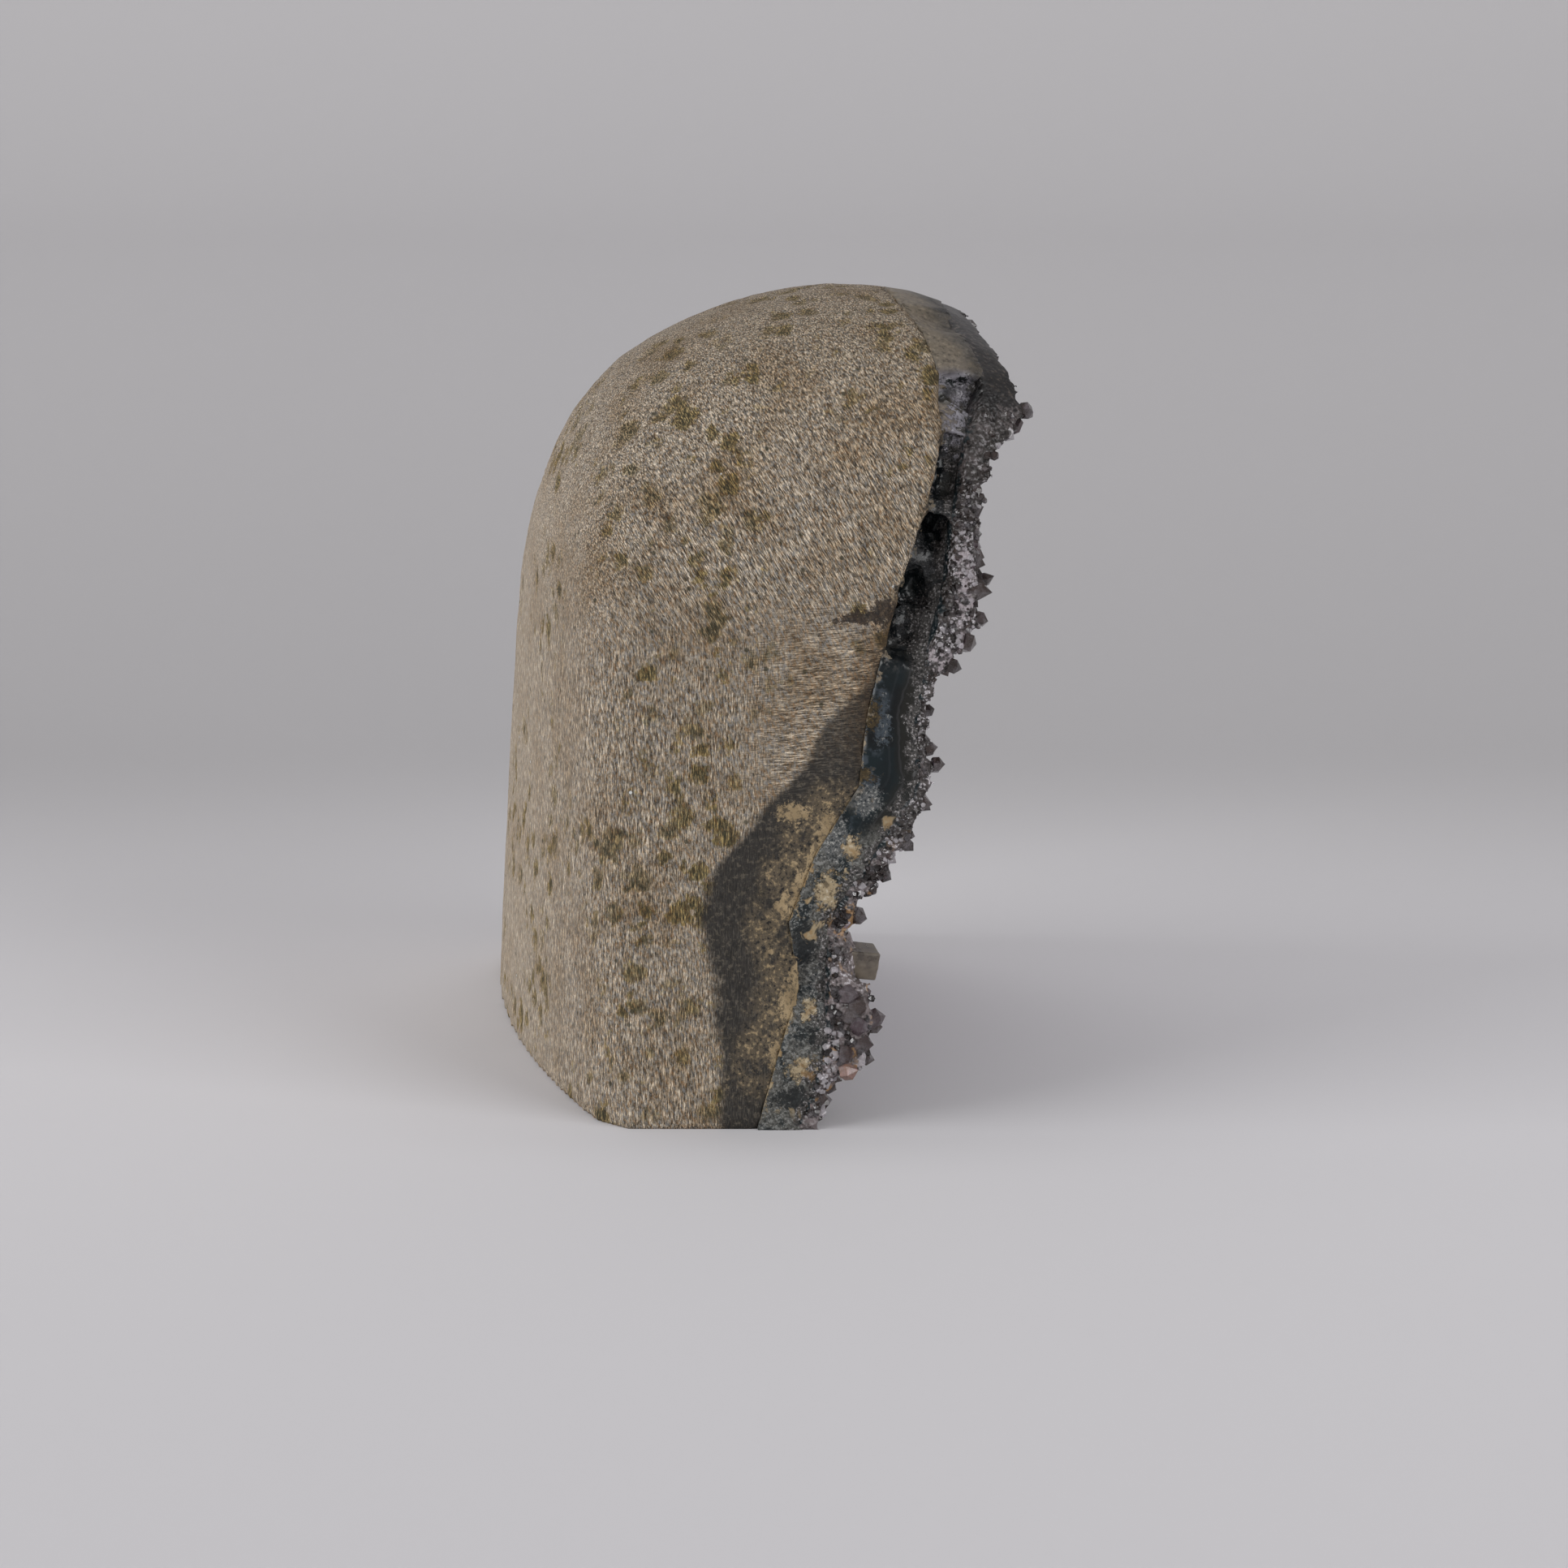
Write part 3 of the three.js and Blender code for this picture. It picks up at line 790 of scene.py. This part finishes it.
def shapeBlock():
    bm = bmesh.new()
    bmesh.ops.create_cube(bm, size=1)
    bmesh.ops.scale(bm, verts=bm.verts, vec=[v * mm for v in block["size"]])
    bmesh.ops.bevel(bm, geom=bm.edges[:], offset=block["edge"] * mm, segments=2, profile=0.5, affect="EDGES",
                    material=-1)
    bmesh.ops.subdivide_edges(bm, edges=bm.edges[:], cuts=3, use_grid_fill=True)
    turnX, turnY, turnZ = [Matrix.Rotation(angle, 3, axis) for angle, axis in zip(block["turn"], "XYZ")]
    bmesh.ops.rotate(bm, verts=bm.verts, cent=(0, 0, 0), matrix=turnZ @ turnY @ turnX)
    bmesh.ops.translate(bm, verts=bm.verts, vec=[v * mm for v in block["place"]])
    tall, span = block["uneven"]
    for vert in bm.verts:
        vert.co += vert.normal * (tall * mm * noise.noise(vert.co / mm / span))
    print("blocky_crystal", len(bm.faces), "faces")
    return meshPiece("blocky_crystal", bm)


def blockFinish():
    material, place, x, y, z = newMaterial("blockyCrystal")
    haze = clouds(place, 2.6, 3, 0.6)
    colour = blend(step(haze, 0.35, 0.65), block["grey"], block["pale"])
    return finish(material, {"Base Color": colour, "Roughness": step(haze, 0.3, 0.7, 0.22, 0.45),
                             "IOR": quartzIor, "Transmission Weight": 0.3,
                             "Normal": bump(clouds(place, 1.2), 0.08, 0.5)})


# crystal crust: a granular quartz bed with amethyst points grown on it

bed = {
    "grid": (0.55, 3),
    "uneven": ((0.26, 0.8), (0.3, 1.9)),  # height and span
    "sunk": 0.25,  # it lies this much under the CAD crust
    "groundUnder": (1.6, 0.7),  # the crown is ground across the crust too
    "groundFacing": (0.3, 0.6),
    "join": (1.0, 0.2),
    "patchSpan": 4.2,  # dark and pale patches in the broken edge
    # above these heights the pale patches fade: painted shade under the overhang at the top
    "paintedTopShadeFrom": (66, 78),  # mostly dark ones above these heights
    "paintedTopShadeShare": 0.75,
    "grains": {"fine": 0.55},
    "lowUnder": (44, 30),
    "smoky": (56, 51, 49),
    "black": (15, 14, 14),
    "milk": (222, 217, 221),
    "mauve": (124, 114, 114),
    "lilac": (150, 134, 160),  # over the face, where the crystals are clearer
    "tan": (176, 138, 96),
    "frost": (184, 174, 178),
    "glass": (22, 20, 20),
    "ground": (32, 29, 28),
    "groundLight": (106, 95, 86),
    "frostSpots": [(26.9, 65.5, 1.1, 6.5), (23.9, 57.2, 1.6, 1.6)],
    "tanSpots": [(12.1, 25.2, 1.5, 1.6), (12.9, 7.2, 1.2, 1.0)],
    "glassSpot": (31.4, 89.2, 5.0, 2.8),
    "glassDepth": 10,
}

points = {
    "seed": 7,
    "templates": 6,
    "tipDrop": 0.4,  # a CAD vertex is a tip where all round it is this much lower
    "tipFacing": 0.2,
    "tipLean": 0.14,
    "tipBuried": 0.88,
    "tipLength": (1.6, 2.2),  # in radii
    "large": (1.3, 2.2),  # corner radius of the points on those tips
    "largeByRim": (0.8, 1.3),  # the same by the near end
    "small": (0.45, 1.1),  # points between them
    "smallByRim": (0.28, 0.62),
    "smallCount": 3200,
    "smallLength": (1.6, 2.3),
    "smallBuried": 0.5,
    "facing": 0.15,
    "lean": 0.35,
    "tints": (0.3, 1),
    "grain": (0.16, 0.4),  # on the broken edge of the crust
    "grainCount": 1700,
    "grainLean": 0.7,
    "grainTints": (0, 0.6),
    "rimShare": 0.2,  # less lilac than this is by the near end
    "eyeShare": 0.5,  # the points beside the agate's smooth eye are smaller
    "milkyShare": 0.12,
    "milkyByRim": 0.56,  # in the pale patches of the edge; there are none in the dark ones
    # larger blunt crystals in the lower crust by the near end: x, z, radius and tint
    "lowCluster": [(12.8, 16.4, 1.5, 0.38), (13.8, 15.0, 1.3, 0.33), (14.0, 12.2, 1.6, 0.4),
                   (14.4, 10.2, 1.4, 0.35), (13.0, 13.6, 1.2, 0.3), (12.4, 9.0, 1.3, 0.35),
                   (12.6, 7.2, 1.2, 0.84), (11.8, 25.0, 1.2, 0.83), (12.6, 27.2, 1.1, 0.3),
                   (9.0, 3.4, 1.1, 0.3)],
    "lowInward": (0.4, 1.6),
    "lowLength": (1.5, 1.8),
    "lowClear": 1.5,  # room left round each of those
    "lowTop": 32,  # under this the small ones by the near end are larger
    "lowShare": 1.35,
    "bareBand": (86.5, 91.5),  # the near rim is glassy between these heights, with no points on it
    "bareDepth": 17,
    "bareTop": 1.2,  # nor this near the ground crown
    "bareBase": 0.8,  # nor this near the base
    "smokyTo": (6, 23),  # from the ends inwards the points turn from small and smoky to large and lilac
    "lilac": (190, 168, 206),
    "smoky": (110, 95, 90),
    "dark": (50, 43, 42),
    "amber": (210, 164, 104),
    "cloud": (214, 208, 214),
    "milk": (246, 240, 244),
    "absorb": (170, 136, 190),
    "density": 400,
}


def lilacAt(place):  # from the edges inwards
    return float(ramp(depthOf(place), *points["smokyTo"]))


# the patches darken towards the top as painted shade
def paleAt(place):  # dark and pale patches
    pale = ramp(noise.noise(Vector(place) / bed["patchSpan"]), -0.15, 0.2)
    return float(pale * (1 - bed["paintedTopShadeShare"] * ramp(place[2], *bed["paintedTopShadeFrom"])))


def shapeBed(agateBvh):
    piece, places, normals = finePiece("quartz_bed", "amethyst_crust", *bed["grid"])
    height = sum(tall * noiseAt(places, span, 4.0 + n) for n, (tall, span) in enumerate(bed["uneven"]))
    ground = ramp(underCrown(*places.T), *bed["groundUnder"]) * ramp(normals[:, 2], *bed["groundFacing"])
    places += normals * ((height * (1 - ground) - bed["sunk"]) * overBase(places))[:, None]
    aside = places - block["place"]
    alongX, alongY, alongZ = block["shrinkWithin"]
    onBlock = ramp(aside[:, 0], *alongX) * ramp(np.abs(aside[:, 1]), *alongY)
    onBlock = onBlock * ramp(np.abs(aside[:, 2]), *alongZ)
    places[:, 1:] -= aside[:, 1:] * (block["shrink"] * onBlock)[:, None]
    closeJoin(places, agateBvh, *bed["join"])
    flatten(places)
    return save(piece, places, {"agateDistance": distanceTo(agateBvh, places), "ground": ground,
                                "lilac": [lilacAt(p) for p in places], "pale": [paleAt(p) for p in places]})


def bedFinish():
    material, place, x, y, z = newMaterial("quartzBed")
    patches = clouds(place, 4, 3, 0.6)
    grains = speckles(place, bed["grains"])
    lilac = layer("lilac")
    low = step(plus(z, times(patches, 8)), *bed["lowUnder"])
    mauve = mixValue(low, step(patches, 0.5, 0.7, 0, 0.5), step(patches, 0.35, 0.6))
    milky = mixValue(most(layer("pale"), lilac), 0.2, 0.8)
    fringe = times(step(ragged(layer("agateDistance"), place, 1.6, 5.0), 0.5, 0.0), step(lilac, 0.1, 0.0))
    glass = patch(place, bed["glassSpot"], bed["glassDepth"])
    tan = times(low, blots(place, 2.6, 0.58, 0.68, 3))
    tan = most(tan, *[patch(place, spot) for spot in bed["tanSpots"]])
    colour = coats(bed["smoky"], (mauve, 1, bed["mauve"]), (lilac, 1, bed["lilac"]),
                   (grains["fineDark"], 0.85, bed["black"]), (grains["fineLight"], milky, bed["milk"]),
                   (fringe, 1, tealAgate), (glass, 0.92, bed["glass"]), (tan, 0.7, bed["tan"]))
    frosty = blots(place, 0.7, 0.35, 0.6)
    for spot in bed["frostSpots"]:
        colour = coats(colour, (times(patch(place, spot), frosty), 0.85, bed["frost"]))
    ground = layer("ground")  # its crystals are cut across there
    cut = blend(step(cells(place, 0.6)["Distance"], 0.2, 0.7), bed["ground"], bed["glass"])
    colour = coats(colour, (ground, 0.85, cut), (times(ground, grains["fineLight"]), 0.45, bed["groundLight"]))
    dull = mixValue(ground, step(patches, 0.3, 0.7, 0.22, 0.5), 0.4)
    facets = times(cells(place, 1.5)["Distance"], mixValue(ground, 1.0, 0.1))
    return finish(material, {"Base Color": colour, "Roughness": dull, "IOR": quartzIor,
                             "Specular IOR Level": 0.35, "Normal": bump(facets, 0.5, 0.8)})


# a six-sided quartz point of radius and length 1, root at the origin, along +Z
def quartzTemplate(dice):
    bm = bmesh.new()
    bmesh.ops.create_circle(bm, cap_ends=True, segments=6, radius=1)
    prism = bmesh.ops.extrude_face_region(bm, geom=bm.faces[:])["geom"]
    ring = only(bmesh.types.BMVert, prism)
    bmesh.ops.translate(bm, verts=ring, vec=(0, 0, dice.uniform(0.4, 0.6)))
    for vert in ring:
        vert.co.z += dice.uniform(-0.12, 0.12)
    cap = only(bmesh.types.BMFace, prism)
    tip = bmesh.ops.poke(bm, faces=cap)["verts"][0]
    tip.co = (dice.uniform(-0.28, 0.28), dice.uniform(-0.28, 0.28), 1)
    bmesh.ops.recalc_face_normals(bm, faces=bm.faces)
    corners = np.array([v.co for v in bm.verts])
    faces = [[v.index for v in f.verts] for f in bm.faces]
    bm.free()
    return corners, faces


# stands: place, direction, radius, length, buried share, tint and milkiness
def growCrystals(name, dice, stands):
    templates = [quartzTemplate(dice) for n in range(points["templates"])]
    corners, faces, tints, milks = [], [], [], []
    for place, outward, radius, length, buried, tint, milky in stands:
        shape, sides = templates[dice.randrange(len(templates))]
        spun = Matrix.Rotation(dice.uniform(0, math.tau), 3, "Z")
        turn = np.array(outward.to_track_quat("Z", "Y").to_matrix() @ spun)
        moved = (shape * (radius, radius, length) - (0, 0, buried * length)) @ turn.T + np.array(place)
        first = len(tints)
        faces += [[first + n for n in side] for side in sides]
        corners += moved.tolist()
        tints += [tint] * len(moved)
        milks += [milky] * len(moved)
    mesh = bpy.data.meshes.new(name)
    corners = np.array(corners)
    corners[:, 2] = np.maximum(corners[:, 2], 0)  # none goes under the sawn base
    mesh.from_pydata((corners * mm).tolist(), [], faces)
    writeValues(mesh, {"tint": tints, "milky": milks})
    return linkPiece(name, mesh)


def leaning(dice, outward, lean):
    return (outward + Vector([dice.gauss(0, lean) for n in range(3)])).normalized()


def isBare(place):  # no points on the glassy top of the near rim, nor before the blocky crystal
    ahead = block["place"][1] - place.y
    nearest, farthest = block["clearAhead"]
    rise = place.z - block["place"][2] - nearLean * ahead
    onBlock = place.x > block["clearFromX"] and nearest < ahead < farthest and abs(rise) < block["clear"]
    low, high = points["bareBand"]
    onRim = low < place.z < high and place.y - nearEnd(0, place.z)[1] < points["bareDepth"]
    return onBlock or onRim or place.z < points["bareBase"] or underCrown(*place) < points["bareTop"]


def shapePoints(bedPiece):
    dice = random.Random(points["seed"])
    crust = nodeCopy("amethyst_crust")
    crust.normal_update()
    grown = bmesh.new()
    grown.from_mesh(bedPiece.data)
    bedBvh = bvhOf(grown)
    stands = []

    def between(byRim, inside, share):
        low, high = [a + (b - a) * share for a, b in zip(points[byRim], points[inside])]
        return dice.uniform(low, high)

    def stand(place, outward, radius, length, buried, tints):
        share, pale = lilacAt(place), paleAt(place)
        tint = dice.uniform(*tints) * (0.25 + 0.25 * pale + (0.75 - 0.25 * pale) * share)
        milky = dice.random() < points["milkyShare"] * share + points["milkyByRim"] * pale * (1 - share)
        stands.append((place, outward, radius, radius * length, buried, tint, float(milky)))

    # on the tips of the CAD crust
    for vert in crust.verts:
        place = vert.co / mm
        if vert.normal.x < points["tipFacing"] or isBare(place):
            continue
        rise = [(other.other_vert(vert).co - vert.co).dot(vert.normal) / mm for other in vert.link_edges]
        if len(rise) > 4 and max(rise) < -points["tipDrop"]:
            radius = between("largeByRim", "large", lilacAt(place))
            outward = leaning(dice, vert.normal, points["tipLean"])
            length = dice.uniform(*points["tipLength"])
            stand(place, outward, radius, length, points["tipBuried"], points["tints"])
    tips = len(stands)

    # between them, over the face and along the broken edge
    low = [Vector(nearEnd(x, z)) + Vector((0, dice.uniform(*points["lowInward"]), 0))
           for x, z, radius, tint in points["lowCluster"]]
    facing = points["facing"]
    front = [f for f in crust.faces if f.normal.x > facing]
    sides = [f for f in crust.faces if abs(f.normal.x) <= facing and f.normal.z > -0.9 and f.calc_area() > 0]
    for group, count, lean, tints in (
            (front, points["smallCount"], points["lean"], points["tints"]),
            (sides, points["grainCount"], points["grainLean"], points["grainTints"])):
        areas = [f.calc_area() for f in group]
        for face in dice.choices(group, weights=areas, k=count):
            a, b, c = [v.co / mm for v in face.verts[:3]]
            u, v = sorted((dice.random(), dice.random()))
            place = a * u + b * (v - u) + c * (1 - v)
            if isBare(place) or min((place - middle).length for middle in low) < points["lowClear"]:
                continue
            share = lilacAt(place)
            if group is sides:
                radius = dice.uniform(*points["grain"])
            else:
                radius = between("smallByRim", "small", share)
            if share < points["rimShare"] and agate["eyeFrom"] < place.z < agate["brokenFrom"]:
                radius *= points["eyeShare"]
            if share < points["rimShare"] and place.z < points["lowTop"]:
                radius *= points["lowShare"]
            place = bedBvh.find_nearest(place * mm)[0] / mm  # rooted in the bed
            outward = leaning(dice, face.normal, lean)
            length = dice.uniform(*points["smallLength"])
            stand(place, outward, radius, length, points["smallBuried"], tints)
    for place, (x, z, radius, tint) in zip(low, points["lowCluster"]):
        outward = Vector((1, dice.uniform(-0.6, 0), dice.uniform(-0.4, 0.5))).normalized()
        length = radius * dice.uniform(*points["lowLength"])
        stands.append((place, outward, radius, length, points["smallBuried"], tint, 0.0))
    crust.free()
    piece = growCrystals("amethyst_points", dice, stands)
    print("amethyst_points:", tips, "on CAD tips,", len(stands) - tips, "between them")
    return piece


def pointsFinish():
    material, place, x, y, z = newMaterial("amethystPoints")
    tint = layer("tint")
    low = step(plus(z, times(tint, 18)), 48, 24)
    amber = times(step(tint, 0.78, 0.86), mixValue(low, 0.25, 0.8))
    colour = coats(points["dark"], (step(tint, 0.0, 0.3), 1, points["smoky"]),
                   (step(tint, 0.3, 0.75), 1, points["lilac"]), (amber, 1, points["amber"]),
                   (blots(place, 1.6, 0.45, 0.65, 3, 0.6), 0.35, points["cloud"]),
                   (layer("milky"), 1, points["milk"]))
    inputs = {"Color": screen(points["absorb"]), "Density": points["density"]}
    absorb = put("ShaderNodeVolumeAbsorption", inputs).outputs[0]
    feed(material.node_tree.nodes["Material Output"].inputs["Volume"], absorb)
    return finish(material, {"Base Color": colour, "Roughness": step(clouds(place, 0.9), 0.35, 0.7, 0.04, 0.2),
                             "IOR": quartzIor, "Transmission Weight": 0.7})


agateBvh, rockBvh, crustBvh = [bvhOf(nodeCopy(node)) for node in ("agate_band", "host_rock", "amethyst_crust")]
bedPiece = shapeBed(agateBvh)
dressed = (
    (shapeBasalt(agateBvh), basaltFinish(), "basalt", "host_rock"),
    (shapeAgate(rockBvh, crustBvh), agateFinish(), "agate", "agate_band"),
    (bedPiece, bedFinish(), "amethyst", "amethyst_crust"),
    (shapePoints(bedPiece), pointsFinish(), "amethyst", None),
    (shapeBlock(), blockFinish(), "amethyst", None),
)
for piece, material, slot, node in dressed:
    piece.data.materials.clear()
    piece.data.materials.append(material)
    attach(piece, "root")
    if node:
        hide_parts(node)
print("pieces dressed")


# floor, light and camera; the floor and the lamps are in metres

stage = {
    "half": 10.0,
    "near": -8.0,
    "bendAt": 1.0,
    "bendRadius": 0.6,
    "bendSteps": 24,
    "top": 3.0,
    "pale": (217, 215, 218),
    # painted shade: the floor darkens beyond the object, in place of the lamps' falloff
    "shade": (173, 171, 173),  # beyond the object the floor darkens a little
    "paintedFalloffFrom": (20.0, 190.0),  # millimetres
    "world": (0.5, 0.5, 0.505, 1),
    "worldStrength": 0.62,
}


def makeStage():
    bm = bmesh.new()
    left = bm.verts.new((-stage["half"], stage["near"], 0))
    right = bm.verts.new((stage["half"], stage["near"], 0))
    start = [bm.edges.new((left, right))]

    def onward(row, move):
        grown = bmesh.ops.extrude_edge_only(bm, edges=row)["geom"]
        bmesh.ops.translate(bm, verts=only(bmesh.types.BMVert, grown), vec=move)
        return only(bmesh.types.BMEdge, grown)

    flat = onward(start, (0, stage["bendAt"] - stage["near"], 0))
    ends = list({v for e in flat for v in e.verts})
    bent = bmesh.ops.spin(bm, geom=flat + ends, cent=(0, stage["bendAt"], stage["bendRadius"]), axis=(1, 0, 0),
                          angle=math.pi / 2, steps=stage["bendSteps"])["geom_last"]
    onward(only(bmesh.types.BMEdge, bent), (0, 0, stage["top"]))
    bmesh.ops.recalc_face_normals(bm, faces=bm.faces)
    floor = meshPiece("pale_floor", bm)
    floor.data.shade_smooth()
    material, place, x, y, z = newMaterial("paleFloor")
    # painted shade: darker with distance, in place of the lamps' falloff
    colour = blend(step(y, *stage["paintedFalloffFrom"]), stage["pale"], stage["shade"])
    floor.data.materials.append(finish(material, {"Base Color": colour, "Roughness": 0.9}))


lamps = {
    "key": {"place": (-4.6, -1.55, 1.5), "aim": (0, 0, 0.05), "size": (4.0, 2.6), "power": 182.0},
    "fill": {"place": (1.6, -1.17, 0.88), "aim": (0, 0, 0.05), "size": (1.5, 1.5), "power": 23.0},
    "back": {"place": (0, 0.6, 1.6), "aim": (0, 1.9, 0.7), "size": (1.2, 1.2), "power": 12.0},
}


def makeLamps():
    for name, lamp in lamps.items():
        light = bpy.data.lights.new(name, "AREA")
        light.shape = "RECTANGLE"
        light.size, light.size_y = lamp["size"]
        light.energy = lamp["power"]
        holder = bpy.data.objects.new(name, light)
        holder.location = lamp["place"]
        holder.rotation_mode = "QUATERNION"
        holder.rotation_quaternion = (Vector(lamp["aim"]) - Vector(lamp["place"])).to_track_quat("-Z", "Y")
        holder.visible_camera = False
        scene.collection.objects.link(holder)
    world = bpy.data.worlds.new("studio")
    world.use_nodes = True
    sky = world.node_tree.nodes["Background"].inputs
    sky["Color"].default_value = stage["world"]
    sky["Strength"].default_value = stage["worldStrength"]
    scene.world = world


view = {
    "place": (4.33, -682.0, 178.0),  # millimetres
    "down": 12.0,  # degrees under the horizon
    "focalPixels": 6463.0,
    "framePixels": 1932.0,
    "sensor": 36.0,
    "clipStart": 0.01,
}


def makeCamera():
    data = bpy.data.cameras.new("camera")
    data.sensor_width = view["sensor"]
    data.lens = view["sensor"] * view["focalPixels"] / view["framePixels"]
    data.clip_start = view["clipStart"]
    holder = bpy.data.objects.new("camera", data)
    holder.location = [v * mm for v in view["place"]]
    holder.rotation_euler = (math.radians(90 - view["down"]), 0, 0)
    scene.collection.objects.link(holder)
    scene.camera = holder


makeStage()
makeLamps()
makeCamera()
scene.view_settings.view_transform = "Standard"
print("stage, lamps and camera set")
